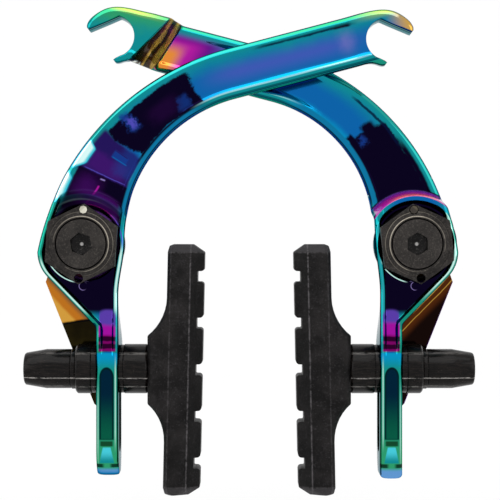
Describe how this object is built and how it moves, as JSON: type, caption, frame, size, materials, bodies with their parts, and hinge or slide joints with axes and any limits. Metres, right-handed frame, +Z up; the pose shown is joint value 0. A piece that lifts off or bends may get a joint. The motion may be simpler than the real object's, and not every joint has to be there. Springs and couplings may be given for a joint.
{
  "type": "bicycle u-brake",
  "caption": "Bicycle U-brake: two crossing forged arms with cable claws, pivot nuts and springs, slotted pad plates, domed washers, cap nuts and grooved rubber brake pads.",
  "frame": {"origin": "midway between the two pivot axes, in the plane where the tension nuts seat on the frame's bosses", "axes": "+Y back along both pivot axes towards the bicycle frame, +Z up along the arms' longest extent, +X to the right seen from the front"},
  "size_m": [0.1146, 0.0216, 0.1231],
  "materials": {
    "arm_finish": "polished, heat-coloured coating in blue, purple, green and gold",
    "bushing_brass": "turned",
    "sleeve_steel": "ground",
    "washer_nylon": "plain",
    "spring_bright": "drawn wire",
    "spring_dark": "drawn wire, darkened",
    "black_steel": "turned, black phosphate",
    "washer_steel": "pressed",
    "post_steel": "threaded",
    "pad_rubber": "moulded, matte"
  },
  "bodies": {
    "frame_fixings": {"left_pivot_sleeve": "sleeve_steel", "left_pivot_washer": "washer_nylon", "left_return_spring": "spring_bright", "left_tension_nut": "black_steel", "left_mounting_bolt": "black_steel", "right_pivot_sleeve": "sleeve_steel", "right_pivot_washer": "washer_nylon", "right_return_spring": "spring_dark", "right_tension_nut": "black_steel", "right_mounting_bolt": "black_steel"},
    "left_lever": {"left_arm": "arm_finish", "left_pivot_bushing": "bushing_brass", "left_brake_pad": "pad_rubber", "left_pad_post": "post_steel", "left_pad_spacer": "black_steel", "left_inner_dome_washer": "black_steel", "left_outer_dome_washer": "black_steel", "left_cup_washer": "black_steel", "left_flat_washer": "washer_steel", "left_pad_nut": "black_steel"},
    "right_lever": {"right_arm": "arm_finish", "right_pivot_bushing": "bushing_brass", "right_brake_pad": "pad_rubber", "right_pad_post": "post_steel", "right_pad_spacer": "black_steel", "right_inner_dome_washer": "black_steel", "right_outer_dome_washer": "black_steel", "right_cup_washer": "black_steel", "right_flat_washer": "washer_steel", "right_pad_nut": "black_steel"}
  },
  "joints": [
    {"name": "left_pivot", "type": "hinge", "parent": "frame_fixings", "child": "left_lever", "pos_m": [-0.042, 0, 0], "axis": [0, 1, 0], "range_deg": [-8, 18], "stiffness_Nm_per_rad": 1.5, "deforming": ["left_return_spring"]},
    {"name": "right_pivot", "type": "hinge", "parent": "frame_fixings", "child": "right_lever", "pos_m": [0.042, 0, 0], "axis": [0, 1, 0], "range_deg": [-18, 8], "stiffness_Nm_per_rad": 1.5, "deforming": ["right_return_spring"]}
  ],
  "couplings": [
    {"joint": "right_pivot", "follows": "left_pivot", "ratio": -1}
  ]
}
